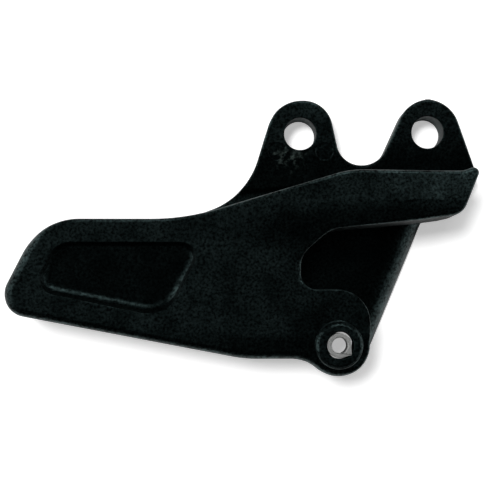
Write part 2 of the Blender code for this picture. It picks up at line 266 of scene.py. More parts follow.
@dataclass
class Form(ABC):
    """A solid given as a signed distance, negative inside, and the grid that its surface is drawn on."""

    @abstractmethod
    def plan(self, x: Array, y: Array) -> Plan:
        """What the solid needs to know about each place of the plan, whatever its level."""

    @abstractmethod
    def solid(self, plan: Plan, z: Array) -> Array:
        """Signed distance at those places and levels."""

    @abstractmethod
    def axes(self) -> Axes:
        """The grid's lines along x, y and z, in millimetres."""

    def field(self, axes: Axes) -> Array:
        """The distance at each crossing of the grid's lines, one level at a time."""
        plan = self.plan(*np.meshgrid(axes[0], axes[1], indexing="ij"))
        levels = [self.solid(plan, np.full((len(axes[0]), len(axes[1])), z)) for z in axes[2]]
        return np.stack(levels, axis=2).astype(np.float32)

    def net(self) -> tuple[Array, Array]:
        """The surface where the distance changes sign.

        Each grid edge with one end inside is crossed at its linear zero and gives a quad between the four cells
        round it. A cell's vertex is the mean of the crossings on its edges.

        Returns:
            The vertices and the quads.
        """
        axes = self.axes()
        volume = self.field(axes)
        rings, places = [], []
        for axis in range(3):
            low = tuple(slice(None, -1) if i == axis else slice(None) for i in range(3))
            high = tuple(slice(1, None) if i == axis else slice(None) for i in range(3))
            start, end = volume[low], volume[high]
            crossed = (start < 0) != (end < 0)
            index = np.array(np.nonzero(crossed))
            start, end = start[crossed], end[crossed]
            place = np.array([line[i] for line, i in zip(axes, index)], dtype=float)
            line = axes[axis]
            place[axis] += (line[index[axis] + 1] - line[index[axis]]) * start / (start - end)
            ring = []
            for du, dv in ((0, 0), (-1, 0), (-1, -1), (0, -1)):
                cell = index.copy()
                cell[(axis + 1) % 3] += du
                cell[(axis + 2) % 3] += dv
                ring.append(np.ravel_multi_index(tuple(cell), volume.shape))
            ring = np.stack(ring, axis=1)
            ring[start > 0] = ring[start > 0][:, ::-1]
            rings.append(ring)
            places.append(place.T)
        quads, points = np.concatenate(rings), np.concatenate(places)
        cells, corner = np.unique(quads, return_inverse=True)
        corner = corner.reshape(quads.shape)
        share = np.bincount(corner.ravel(), minlength=len(cells))
        vertices = [
            np.bincount(corner.ravel(), weights=np.repeat(points[:, i], 4), minlength=len(cells)) / share
            for i in range(3)
        ]
        return np.stack(vertices, axis=1), corner

    def slope(self, points: Array, step: float) -> tuple[Array, Array]:
        """The distance at some points, and its gradient from four samples at a tetrahedron's corners round each."""
        total, gradient = np.zeros(len(points)), np.zeros(points.shape)
        for corner in ((1, 1, 1), (1, -1, -1), (-1, 1, -1), (-1, -1, 1)):
            x, y, z = (points + step * np.array(corner)).T
            value = self.solid(self.plan(x, y), z)
            total += value / 4.0
            gradient += np.outer(value, corner) / (4.0 * step)
        return total, gradient

    def settled(self, points: Array) -> Array:
        """Points moved onto the surface, each by its distance along the gradient, at most a third of a millimetre."""
        for _ in range(2):
            value, gradient = self.slope(points, SETTLE_STEP)
            size = np.maximum(np.linalg.norm(gradient, axis=1), SLOPE_LEAST)
            points = points - gradient * (np.clip(value / size, -SETTLE_MOST, SETTLE_MOST) / size)[:, None]
        return points

    def mesh(self, name: str, triangles: int, move: Array) -> bpy.types.Object:
        """The surface as an object in metres, thinned out on its flats, with normals from the gradient.

        Args:
            name: The object's name.
            triangles: How many triangles are kept.
            move: What is added to each point, in millimetres.

        Returns:
            The object, linked to the scene.
        """
        vertices, quads = self.net()
        data = bpy.data.meshes.new(name)
        data.from_pydata(vertices, [], quads)
        piece = placed(name, data)
        thin = piece.modifiers.new("thin", "DECIMATE")
        thin.ratio = min(1.0, triangles / (2 * len(quads)))
        piece.modifiers.new("triangles", "TRIANGULATE")
        thinned = bpy.data.meshes.new_from_object(piece.evaluated_get(bpy.context.evaluated_depsgraph_get()))
        piece.modifiers.clear()
        piece.data = thinned
        bpy.data.meshes.remove(data)
        thinned.name = name
        points = np.empty(3 * len(thinned.vertices))
        thinned.vertices.foreach_get("co", points)
        points = self.settled(points.reshape(-1, 3))
        thinned.vertices.foreach_set("co", ((points + move) * MM).ravel())
        thinned.update()
        thinned.shade_smooth()
        thinned.normals_split_custom_set(self.corner_normals(thinned, points).tolist())
        LOG.info("%s: %d quads, %d faces kept", name, len(quads), len(thinned.polygons))
        return piece

    def corner_normals(self, mesh: bpy.types.Mesh, points: Array) -> Array:
        """A normal for each corner of each triangle, so that a crease stays crisp on both of its sides.

        Each is the gradient at the corner, moved a little way towards the middle of its own triangle.

        Args:
            mesh: The mesh, all triangles.
            points: Its vertices in millimetres.

        Returns:
            One unit normal a face corner, in the mesh's order.
        """
        corners = np.empty(len(mesh.loops), dtype=np.int32)
        mesh.loops.foreach_get("vertex_index", corners)
        triangles = points[corners].reshape(-1, 3, 3)
        inward = triangles.mean(axis=1, keepdims=True) - triangles
        reach = np.maximum(np.linalg.norm(inward, axis=2, keepdims=True), 1e-6)
        samples = (triangles + inward * np.minimum(NORMAL_REACH / reach, 0.6)).reshape(-1, 3)
        _, normals = self.slope(samples, NORMAL_STEP)
        return normals / np.maximum(np.linalg.norm(normals, axis=1), 1e-6)[:, None]


@dataclass(frozen=True)
class Slide:
    """The sloping floor that the chain runs on, and the space over it."""

    end: Point = (51.3, 57.0)
    slope: float = math.radians(5.2)
    chain_space: float = 17.0
    thickness: float = 4.5

    def height(self, x: Array) -> Array:
        """The floor's y at x, on its straight line."""
        return self.end[1] - (self.end[0] - x) * math.tan(self.slope)

    def above(self, x: Array, y: Array) -> Array:
        """Distance above the floor, square to its line."""
        return (y - self.height(x)) * math.cos(self.slope)


@dataclass(frozen=True)
class NearWall:
    """The near wall: its outline from tail to strip, its window and the relief of its face."""

    level: float = 36.5
    thickness: float = 5.5
    tail_reach: float = 143.3
    tail_corner_y: float = 14.35
    tail_corner_round: float = 9.6
    tail_slant: float = math.radians(63.0)
    tail_top_y: float = 52.4
    tail_top_round: float = 26.8
    shoulder_x: float = -64.1
    shoulder_round: float = 95.0
    keel_bend_x: float = -39.1
    keel_level: float = -5.6
    keel_bend_round: float = 60.0
    keel_fillet: float = 18.0
    boss_radius: float = 12.9
    strip_bend_x: float = 4.4
    strip_bend_round: float = 40.0
    strip_top_y: float = 72.9
    strip_corner_y: float = 75.3
    strip_length: float = 60.0
    strip_flick: Corner = (51.5, 72.5, 7.0)
    strip_end_slant: float = math.radians(67.0)
    strip_end_rounds: Point = (2.2, 7.5)
    strip_lower_y: float = 54.2
    strip_lower_bend: Corner = (33.0, 51.8, 60.0)
    window_top: Corner = (-3.5, 48.2, 14.0)
    window_left_x: float = -15.8
    window_shoulder_y: float = 37.3
    window_shoulder_round: float = 10.0
    window_sill_y: float = 23.2
    window_sill_round: float = 6.5
    lobe_round: float = 14.0
    lobe_side_x: float = 13.0
    ridge_rise: float = 3.5
    ridge_along: Ramp = Ramp(-66.0, 58.0)
    ridge_up: Ramp = Ramp(38.0, 21.0)
    strip_falls: Point = (0.04, 0.085)
    strip_fall_from_y: float = 60.0
    strip_fall_along: Ramp = Ramp(-20.0, 30.0)
    strip_turn: Ramp = Ramp(0.0, 46.0)
    dip: float = 1.5
    dip_at: Point = (3.0, -4.0)
    dip_reach: float = 27.0
    dip_squash: float = 0.9
    keel_roll: float = 1.2
    keel_roll_width: float = 11.0
    keel_roll_along: Ramp = Ramp(-66.0, 28.0)
    edge: float = 3.2
    top_edge: float = 1.4
    top_edge_up: Ramp = Ramp(40.0, 8.0)
    top_edge_along: Ramp = Ramp(-132.0, 14.0)
    strip_edge_along: Ramp = Ramp(1.0, 8.0)
    tail_edge: float = 4.6
    tail_edge_along: Ramp = Ramp(-118.0, -12.0)
    tail_edge_up: Ramp = Ramp(14.0, 6.0)
    window_edge: float = 0.5
    window_middle: Point = (22.0, 27.0)
    window_half: Point = (38.0, 24.0)
    window_lead: Ramp = Ramp(-2.0, 4.0)

    def boss_outline(self) -> list[Point]:
        """The keel's fillet and the boss's round, from the keel to the boss's right side."""
        drop = self.keel_fillet - self.keel_level
        middle = (-math.sqrt((self.boss_radius + self.keel_fillet) ** 2 - drop**2), -drop)
        contact = math.atan2(middle[1], middle[0])
        fillet = arc(middle, self.keel_fillet, math.pi / 2, contact + math.pi / 2)
        return fillet + arc((0.0, 0.0), self.boss_radius, contact, -contact)[1:]

    def outline(self) -> Outline:
        """The wall's edge, from the tail's tip along the keel, round the boss, the window and the strip."""
        tip = (-self.tail_reach, self.tail_corner_y)
        tail_top = meet((tip, self.tail_slant), level_line(self.tail_top_y))
        strip_end = (self.strip_length, self.strip_corner_y)
        strip_low = meet((strip_end, self.strip_end_slant), level_line(self.strip_lower_y))
        before_boss = rounded(
            [
                (*tail_top, self.tail_top_round),
                (*tip, self.tail_corner_round),
                (self.keel_bend_x, self.keel_level, self.keel_bend_round),
                (0.0, self.keel_level, 0.0),
                (0.0, self.tail_top_y, 0.0),
            ]
        )[:-2]
        after_boss = rounded(
            [
                (self.boss_radius, 0.0, 0.0),
                (self.lobe_side_x, self.window_sill_y, self.lobe_round),
                (self.window_left_x, self.window_sill_y, self.window_sill_round),
                (self.window_left_x, self.window_shoulder_y, self.window_shoulder_round),
                self.window_top,
                self.strip_lower_bend,
                (*strip_low, self.strip_end_rounds[1]),
                (*strip_end, self.strip_end_rounds[0]),
                self.strip_flick,
                (self.strip_bend_x, self.strip_top_y, self.strip_bend_round),
                (self.shoulder_x, self.tail_top_y, self.shoulder_round),
                (*tail_top, 0.0),
            ]
        )[:-1]
        return Outline(before_boss + self.boss_outline() + after_boss)

    def keel_y(self, x: Array) -> Array:
        """Lower edge of the wall between the tail and the boss, as two straight lines."""
        slope = (self.keel_level - self.tail_corner_y) / (self.keel_bend_x + self.tail_reach)
        return np.maximum(self.keel_level, self.tail_corner_y + slope * (x + self.tail_reach))

    def face(self, x: Array, y: Array) -> Array:
        """Height of the outer face.

        A level plate, plus a ridge that grows along the strip and falls off below it, less a slow fall of the
        strip towards its top edge, a dip of the plate round the boss and a roll down to the keel.
        """
        ridge = self.ridge_rise * self.ridge_along.at(x) * self.ridge_up.at(y)
        fall = self.strip_falls[0] + self.strip_falls[1] * self.strip_turn.at(x)
        fall = fall * np.maximum(y - self.strip_fall_from_y, 0.0) * self.strip_fall_along.at(x)
        away = np.hypot(x - self.dip_at[0], (y - self.dip_at[1]) * self.dip_squash)
        dip = self.dip * ease(1.0 - away / self.dip_reach)
        up = (self.keel_y(x) + self.keel_roll_width - y) / self.keel_roll_width
        roll = self.keel_roll * ease(up) * self.keel_roll_along.at(x)
        return self.level + ridge - fall - dip - roll

    def edge_round(self, x: Array, y: Array) -> Array:
        """Radius of the outer face's edge: wide at the tail's end, less below and above, least at the window."""
        above = np.maximum(self.top_edge_up.at(y) * self.top_edge_along.at(x), self.strip_edge_along.at(x))
        tail = self.tail_edge_along.at(x) * self.tail_edge_up.at(y)
        outside = self.edge + (self.top_edge - self.edge) * above + (self.tail_edge - self.edge) * tail
        beyond = np.maximum(
            np.abs(x - self.window_middle[0]) - self.window_half[0],
            np.abs(y - self.window_middle[1]) - self.window_half[1],
        )
        return self.window_edge + (outside - self.window_edge) * self.window_lead.at(beyond)


@dataclass(frozen=True)
class Ear:
    """A bolt ear round its hole's centre: each side by its normal and its distance, and the rounds at its top."""

    centre: Point
    radius: float
    left: Point
    right: Point
    top: float
    rounds: Point

    def lines(self) -> list[Line]:
        """The lines of its left side, its right side and its top."""
        sides = (self.left, self.right, (math.pi / 2, self.top))
        return [tangent(self.centre, distance, normal) for normal, distance in sides]


@dataclass(frozen=True)
class FarWall:
    """The far wall with its two bolt ears and the web behind the window."""

    thickness: float = 10.0
    ear_thickness: float = 14.0
    rear: Ear = Ear((-14.5, 90.9), 14.6, (math.radians(162.9), 14.15), (math.radians(13.0), 14.45), 14.4, (15.0, 12.6))
    front: Ear = Ear((41.1, 91.7), 14.2, (math.radians(155.4), 13.2), (math.radians(20.4), 14.0), 14.4, (14.4, 14.8))
    hole_radius: float = 6.95
    hole_edge: float = 0.5
    valley_y: float = 77.3
    valley_rounds: Point = (10.9, 11.4)
    flank: Line = ((-39.1, 63.0), math.radians(20.0))
    flank_round: float = 33.5
    flank_lap: float = 6.0
    flank_low_y: float = 10.0
    front_flank_y: float = 71.4
    front_flank_round: float = 3.0
    slide_step: float = 2.0
    web_foot_x: float = 12.35
    web_foot_round: float = 9.0
    web_slant: float = math.radians(67.3)
    thick_normal: float = math.radians(155.5)
    thick_edges: Point = (1.0, 0.8)
    thick_fillet: float = 1.5
    pin_marks: tuple[Point, ...] = ((-3.9, 83.3), (-24.7, 83.2))
    pin_radius: float = 3.8
    pin_rim: Ramp = Ramp(0.25, -0.5)
    pin_depth: float = 0.3
    ear_fall: float = 0.012
    fall_from_y: float = 101.0
    fall_bend: float = 8.0
    crown: float = 0.016
    crown_width: float = 20.0
    crown_most: float = 4.0
    crown_up: Ramp = Ramp(60.0, -10.0)
    crown_along: Ramp = Ramp(2.0, 8.0)
    edge: float = 1.3
    web_edge: float = 6.5
    web_edge_up: Ramp = Ramp(58.0, -6.0)
    web_edge_along: Ramp = Ramp(5.0, 8.0)

    def outline(self, near: NearWall, slide: Slide) -> Outline:
        """The wall's edge where it shows beyond the near wall: ears, valley, rear flank and web."""
        rear_left, rear_right, rear_top = self.rear.lines()
        front_left, front_right, front_top = self.front.lines()
        valley = level_line(self.valley_y)
        inner_x = near.shoulder_x - self.flank_lap
        (flank_x, flank_y), slope = self.flank
        web_foot = (self.web_foot_x, -near.boss_radius)
        return Outline(
            rounded(
                [
                    (inner_x, flank_y + (inner_x - flank_x) * math.tan(slope), 0.0),
                    (inner_x, self.flank_low_y, 0.0),
                    (0.0, 0.0, 0.0),
                    (0.0, -near.boss_radius, 0.0),
                    (*web_foot, self.web_foot_round),
                    (*meet((web_foot, self.web_slant), (slide.end, slide.slope)), 0.0),
                    (slide.end[0], slide.end[1] - self.slide_step, 0.0),
                    (*meet(front_right, level_line(self.front_flank_y)), self.front_flank_round),
                    (*meet(front_right, front_top), self.front.rounds[1]),
                    (*meet(front_top, front_left), self.front.rounds[0]),
                    (*meet(front_left, valley), self.valley_rounds[1]),
                    (*meet(valley, rear_right), self.valley_rounds[0]),
                    (*meet(rear_right, rear_top), self.rear.rounds[1]),
                    (*meet(rear_top, rear_left), self.rear.rounds[0]),
                    (*meet(rear_left, self.flank), self.flank_round),
                ]
            )
        )

    def ear_face(self, x: Array, y: Array) -> Array:
        """Height of the ears' near face.

        It falls off in a slow curve from the holes down to the near wall, straight once it is steep, less the
        shallow round marks of the mould's pins.
        """
        sunk = sum(self.pin_rim.at(np.hypot(x - px, y - py) - self.pin_radius) for px, py in self.pin_marks)
        down = np.maximum(self.fall_from_y - y, 0.0)
        bend = np.minimum(down, self.fall_bend)
        return self.ear_thickness - self.ear_fall * bend * (down - 0.5 * bend) - self.pin_depth * sunk

    def web_face(self, inside: Array, x: Array, y: Array) -> Array:
        """Height of the wall's near face.

        Behind the window it is crowned: it falls off with the square of the distance past a line that lies well
        in from the edge.

        Args:
            inside: Distance in from the wall's edge.
            x: Places along the guide.
            y: Places across it.

        Returns:
            The height at each place.
        """
        fall = 0.5 * self.crown * np.maximum(self.crown_width - inside, 0.0) ** 2
        return self.thickness - np.minimum(fall, self.crown_most) * self.crown_up.at(y) * self.crown_along.at(x)

    def thick_side(self, x: Array, y: Array) -> Array:
        """Distance past the straight left side of the rear ear's thick part, beyond which the wall is thin."""
        (px, py), _ = tangent(self.rear.centre, self.rear.radius, self.thick_normal)
        return (x - px) * math.cos(self.thick_normal) + (y - py) * math.sin(self.thick_normal)

    def edge_round(self, x: Array, y: Array) -> Array:
        """Radius of the wall's near edge: wide along the web, small at the ears."""
        return self.edge + (self.web_edge - self.edge) * self.web_edge_up.at(y) * self.web_edge_along.at(x)


@dataclass(frozen=True)
class Pad:
    """The sunk pad on the tail: a steep wall, then a wide fillet down to the floor."""

    lip: float = 0.4
    steep_width: float = 1.7
    steep_depth: float = 2.5
    depth: float = 3.5
    fillet_width: float = 3.0
    tilt: float = 0.05
    top_y: float = 42.9
    left: Point = (-127.4, 22.6)
    right: Point = (-71.2, 10.9)
    rounds: tuple[float, float, float, float] = (7.0, 14.5, 6.5, 10.0)

    def outline(self, slant: float) -> Outline:
        """The pad's edge, whose ends follow the slant of the tail's end."""
        upper = [meet((low, slant), level_line(self.top_y)) for low in (self.right, self.left)]
        corners = (self.left, self.right, *upper)
        return Outline(rounded([(*corner, radius) for corner, radius in zip(corners, self.rounds)]))

    def sink(self, inside: Array, y: Array) -> Array:
        """Depth of the pad at a distance in from its edge.

        A steep straight wall, rounded at its lip, then a parabola that runs out at the floor, which is deeper
        below its middle than above it.
        """
        middle = (self.top_y + self.right[1]) / 2
        half = self.lip / 2
        steep = self.steep_depth * np.clip((inside - half) / (self.steep_width - half), 0.0, 1.0)
        lead = np.clip(inside / self.lip, 0.0, 1.0) ** 2
        run = np.clip((inside - self.steep_width) / self.fillet_width, 0.0, 1.0)
        floor = self.depth - self.steep_depth + self.tilt * (middle - y)
        return np.where(inside < self.lip, steep * lead, steep) + floor * run * (2.0 - run)


@dataclass(frozen=True)
class Boss:
    """The lower boss: its raised round face, the sleeve's hole and the bolt well behind it."""

    face_level: float = 37.9
    face_radius: float = 8.5
    face_edge: float = 0.35
    foot_radius: float = 9.8
    foot_edge: float = 0.2
    foot_fillet: float = 0.5
    chamfer_depth: float = 1.0
    disc_low: float = 34.0
    hole_radius: float = 5.6
    hole_shift: float = 0.3
    hole_edge: float = 0.3
    sleeve_low: float = 30.1
    well_radius: float = 9.0
    well_round: float = 1.0
    well_edge: float = 0.6

    def disc(self, away: Array, z: Array) -> Array:
        """Signed distance to the raised face: a disc in the plate, with a chamfer from its face to its foot."""
        slant = math.atan2(self.chamfer_depth, self.foot_radius - self.face_radius)
        chamfer = (away - self.face_radius) * math.sin(slant) + (z - self.face_level) * math.cos(slant)
        disc = both(both(chamfer, away - self.foot_radius, self.foot_edge), z - self.face_level, self.face_edge)
        return both(disc, self.disc_low - z, self.foot_fillet)

    def well(self, away: Array, z: Array) -> Array:
        """Signed distance to the round well for the bolt's head, up to the sleeve."""
        return both(away - self.well_radius, z - self.sleeve_low, self.well_round)


@dataclass(frozen=True)
class Pockets:
    """The pockets that core the block under the slide floor, open to the far side."""

    start_x: float = -126.0
    end_x: float = -20.6
    pitch: float = 18.0
    row: float = 20.0
    rib: float = 2.6
    round: float = 2.0
    draft: float = 0.02
    mouth_edge: float = 0.6
    keel_wall: float = 4.0

    def outlines(self, near: NearWall, slide: Slide) -> list[Outline]:
        """The pockets' outlines: columns along the block, split into rows where it is tall."""
        made = []
        columns = max(1, round((self.end_x - self.start_x + self.rib) / self.pitch))
        pitch = (self.end_x - self.start_x + self.rib) / columns
        for column in range(columns):
            left = self.start_x + column * pitch
            right = left + pitch - self.rib
            floors = [float(near.keel_y(x)) + self.keel_wall for x in (left, right)]
            roofs = [float(slide.height(x)) - slide.thickness for x in (left, right)]
            rows = max(1, round((roofs[1] - floors[1]) / self.row))
            for row in range(rows):
                low = [f + (r - f + self.rib) * row / rows for f, r in zip(floors, roofs)]
                high = [f + (r - f + self.rib) * (row + 1) / rows - self.rib for f, r in zip(floors, roofs)]
                corners = [(left, low[0]), (right, low[1]), (right, high[1]), (left, high[0])]
                made.append(Outline(rounded([(*corner, self.round) for corner in corners])))
        return made

    def distance(self, near: NearWall, slide: Slide) -> Callable[[Array, Array], Array]:
        """The distance to the nearest pocket, as a function of the plan."""
        made = self.outlines(near, slide)
        return lambda x, y: np.minimum.reduce([outline.distance(x, y) for outline in made])


class Quality(Enum):
    """How fine the body's grid is, as its pitch in millimetres."""

    QUICK = 0.9
    FULL = 0.5


@dataclass(frozen=True)
class PaintedShadeFaces:
    """Faces in painted shade, where the nylon's sheen is turned down: the pad's floor, the far wall's near face and
    the window's sides.
    """

    slack: float = 1.0
    floor_depth: float = 8.0
    wall_low: float = 3.0
    wall_inside: Ramp = Ramp(6.0, 4.0)
    wall_ears: Ramp = Ramp(58.0, 6.0)
    wall_below: Ramp = Ramp(90.0, -10.0)
    side_depth: Ramp = Ramp(1.0, 0.8)
    side_middle_x: float = 20.0
    side_half_x: float = 38.0
    side_above: Ramp = Ramp(10.0, 8.0)
    side_below: Ramp = Ramp(60.0, -6.0)


@dataclass
class GuideBody(Form):
    """The moulded body: both walls, the block and slide floor between them, ears, boss, pad and pockets."""

    quality: Quality = Quality.FULL
    near: NearWall = field(default_factory=NearWall)
    far: FarWall = field(default_factory=FarWall)
    slide: Slide = field(default_factory=Slide)
    pad: Pad = field(default_factory=Pad)
    boss: Boss = field(default_factory=Boss)
    pockets: Pockets = field(default_factory=Pockets)
    # Faces whose sheen the nylon turns down, as painted shade.
    smooth: PaintedShadeFaces = field(default_factory=PaintedShadeFaces)
    draft: float = math.radians(1.2)
    draft_reach: float = 16.5
    parting_level: float = 20.0
    inner_round: float = 2.5
    under_edge: float = 1.0
    way_edge: float = 0.8
    chart_pitch: float = 0.35
    margin: float = 3.0

    def __post_init__(self) -> None:
        """Charts the distances to the outlines, once."""
        self.low = (-self.near.tail_reach, -self.near.boss_radius - self.margin)
        top = self.far.front.centre[1] + self.far.front.radius + self.margin
        self.high = (self.near.strip_length + 2 * self.margin, top)
        self.charts = {
            "near": self.chart(self.near.outline().distance),
            "far": self.chart(self.far.outline(self.near, self.slide).distance),
            "pad": self.chart(self.pad.outline(self.near.tail_slant).distance),
            "pocket": self.chart(self.pockets.distance(self.near, self.slide)),
        }

    def chart(self, quantity: Callable[[Array, Array], Array]) -> Chart:
        """A chart over the body's whole plan."""
        return Chart.drawn(quantity, self.low, self.high, self.chart_pitch)

    def plan(self, x: Array, y: Array) -> Plan:
        """Distances in the plan to each outline, hole and line, and the height and edge radius of each face."""
        plan = {name: chart.read(x, y) for name, chart in self.charts.items()}
        face = self.near.face(x, y)
        ears = [ear.centre for ear in (self.far.rear, self.far.front)]
        plan["above"] = self.slide.above(x, y)
        plan["roof"] = face - self.near.thickness
        plan["top"] = face - self.pad.sink(-plan["pad"], y)
        plan["near_edge"] = self.near.edge_round(x, y)
        plan["far_edge"] = self.far.edge_round(x, y)
        plan["ear_face"] = self.far.ear_face(x, y)
        plan["web_face"] = self.far.web_face(-plan["far"], x, y)
        plan["ear_side"] = self.far.thick_side(x, y)
        plan["boss"] = np.hypot(x, y)
        plan["hole"] = np.hypot(x - self.boss.hole_shift, y)
        plan["ear_hole"] = np.minimum(*(np.hypot(x - ex, y - ey) for ex, ey in ears))
        return plan

    def walls(self, plan: Plan, z: Array) -> Array:
        """The near wall's full height less the chain's way, joined to the far wall and its ears."""
        widen = math.tan(self.draft) * (self.draft_reach - np.abs(z - self.parting_level))
        near, far = plan["near"] - widen, plan["far"] - widen
        block = both(both(near, z - plan["top"], plan["near_edge"]), -z, self.under_edge)
        way = both(both(-plan["above"], z - plan["roof"], self.inner_round), self.far.thickness - z, self.inner_round)
        block = both(block, -way, self.way_edge)
        foot_edge, side_edge = self.far.thick_edges
        ear = both(z - plan["ear_face"], self.slide.chain_space - plan["above"], foot_edge)
        face = either(z - plan["web_face"], both(ear, plan["ear_side"], side_edge), self.far.thick_fillet)
        wall = both(both(far, face, plan["far_edge"]), -z, self.under_edge)
        return np.minimum(wall, block)

    def solid(self, plan: Plan, z: Array) -> Array:
        """Signed distance to the body: the walls with the boss's face, less holes, well and pockets."""
        boss, pockets = self.boss, self.pockets
        body = either(self.walls(plan, z), boss.disc(plan["boss"], z), boss.foot_fillet)
        body = both(body, boss.hole_radius - plan["hole"], boss.hole_edge)
        body = both(body, -boss.well(plan["boss"], z), boss.well_edge)
        body = both(body, self.far.hole_radius - plan["ear_hole"], self.far.hole_edge)
        roof = self.near.level - self.near.thickness
        cavity = both(plan["pocket"] + pockets.draft * z, z - roof, pockets.round)
        return both(body, -cavity, pockets.mouth_edge)

    def mark_painted_shade(self, piece: bpy.types.Object, move: Array) -> None:
        """Writes the attribute painted_shade_face, 1 on the faces in painted shade, whose sheen is turned down, and 0
        elsewhere.

        Args:
            piece: The finished body.
            move: What was added to its points, in millimetres.
        """
        points = np.empty(3 * len(piece.data.vertices))
        piece.data.vertices.foreach_get("co", points)
        x, y, z = (points.reshape(-1, 3) / MM - move).T
        zones, far = self.smooth, self.far
        past_wall = -self.charts["pad"].read(x, y) - self.pad.steep_width
        on_floor = ease(past_wall / self.pad.fillet_width) * (z > self.near.level - zones.floor_depth)
        web = np.maximum(zones.wall_inside.at(-self.charts["far"].read(x, y)), zones.wall_ears.at(y))
        on_wall = zones.wall_below.at(y) * web * (z > zones.wall_low) * (z < far.ear_thickness + zones.slack)
        below_face = zones.side_depth.at(self.near.face(x, y) - z) * (z > far.thickness + 2 * zones.slack)
        on_side = below_face * (np.abs(x - zones.side_middle_x) < zones.side_half_x)
        on_side = on_side * zones.side_above.at(y) * zones.side_below.at(y)
        # The faces in painted shade: the pad's floor, the far wall's face and the window's sides.
        smooth = np.maximum.reduce([on_floor, on_wall, on_side])
        piece.data.attributes.new("painted_shade_face", "FLOAT", "POINT").data.foreach_set("value", smooth)

    def axes(self) -> Axes:
        """Even lines in the plan, and levels that are close only where the shape changes."""
        pitch = self.quality.value
        fine, coarse, walls = 0.8 * pitch, 1.4 * pitch, 2.0
        spans = ((-1.2, 2.4, fine), (2.4, 8.4, coarse), (8.4, 15.6, fine), (15.6, 28.0, walls), (28.0, 42.5, fine))
        x = np.arange(self.low[0], self.high[0], pitch)
        y = np.arange(self.low[1], self.high[1], pitch)
        return x, y, np.concatenate([np.arange(*span) for span in spans])


@dataclass
class Sleeve(Form):
    """The steel sleeve: a strip rolled into a tube, whose upper end is left nearly straight past the seam."""

    radius: float = 5.1
    bore: float = 3.25
    chamfer: float = 0.4
    top: float = 38.1
    length: float = 8.0
    corner: Point = (4.55, 2.95)
    end: Point = (4.9, -3.45)
    tip: Point = (5.1, -3.85)
    seam: tuple[Point, Point] = ((-0.2, -3.2), (5.6, -3.75))
    seam_width: float = 0.22
    roll: Point = (math.radians(45.0), math.radians(250.0))
    edge: float = 0.2
    bore_edge: float = 0.08
    seam_edge: float = 0.05
    pitch: float = 0.13
    margin: float = 0.8

    def outline(self) -> Outline:
        """The rolled strip's outer edge: the round, the lower end's tip and the straight upper end."""
        return Outline(arc((0.0, 0.0), self.radius, *self.roll) + [self.tip, self.end, self.corner])

    def plan(self, x: Array, y: Array) -> Plan:
        """Distances in the plan to the outer edge, the axis and the seam's line."""
        (ax, ay), (bx, by) = self.seam
        ex, ey = bx - ax, by - ay
        along = np.clip(((x - ax) * ex + (y - ay) * ey) / (ex * ex + ey * ey), 0.0, 1.0)
        return {
            "outer": self.outline().distance(x, y),
            "axis": np.hypot(x, y),
            "seam": np.hypot(x - ax - along * ex, y - ay - along * ey),
        }

    def solid(self, plan: Plan, z: Array) -> Array:
        """Signed distance to the sleeve: its outer edge less the chamfered bore and the seam."""
        low = self.top - self.length
        flare = np.maximum(self.chamfer - np.minimum(self.top - z, z - low), 0.0)
        bore = (plan["axis"] - self.bore - flare) * np.where(flare > 0, math.sqrt(0.5), 1.0)
        body = both(both(plan["outer"], z - self.top, self.edge), low - z, self.edge)
        return both(both(body, -bore, self.bore_edge), self.seam_width / 2 - plan["seam"], self.seam_edge)

    def axes(self) -> Axes:
        """Even lines in the plan, and levels that are close at both ends."""
        margin, top = self.margin, self.top
        reach, low = self.radius + margin, top - self.length
        even = np.arange(-reach, reach, self.pitch)
        spans = (
            (low - margin / 2, low + margin, self.pitch),
            (low + margin, top - margin, margin),
            (top - margin, top + margin / 2, self.pitch),
        )
        return even, even, np.concatenate([np.arange(*span) for span in spans])


def linear(colour: str) -> tuple[float, float, float, float]:
    """An sRGB hex colour as linear red, green, blue and an alpha of 1."""
    parts = [int(colour.lstrip("#")[i : i + 2], 16) / 255 for i in (0, 2, 4)]
    red, green, blue = (c / 12.92 if c <= 0.04045 else ((c + 0.055) / 1.055) ** 2.4 for c in parts)
    return red, green, blue, 1.0


@dataclass
class NodeTree:
    """A material's or world's node tree while it is drawn."""

    tree: bpy.types.NodeTree

    @classmethod
    def of(cls, owner: bpy.types.Material | bpy.types.World) -> "NodeTree":
        """The tree of a material or a world, switched on and emptied."""
        owner.use_nodes = True
        owner.node_tree.nodes.clear()
        return cls(owner.node_tree)

    def add(self, kind: str, settings: dict | None = None, inputs: dict | Sequence = ()) -> bpy.types.Node:
        """Adds a node.

        Args:
            kind: The node's type name.
            settings: Its properties and their values.
            inputs: What goes into its first sockets in order, or into its sockets by name or number: each a value
                or the socket that feeds it.

        Returns:
            The node.
        """
        node = self.tree.nodes.new(kind)
        for name, value in (settings or {}).items():
            setattr(node, name, value)
        for name, value in inputs.items() if isinstance(inputs, dict) else enumerate(inputs):
            if isinstance(value, Socket):
                self.tree.links.new(value, node.inputs[name])
            else:
                node.inputs[name].default_value = value
        return node


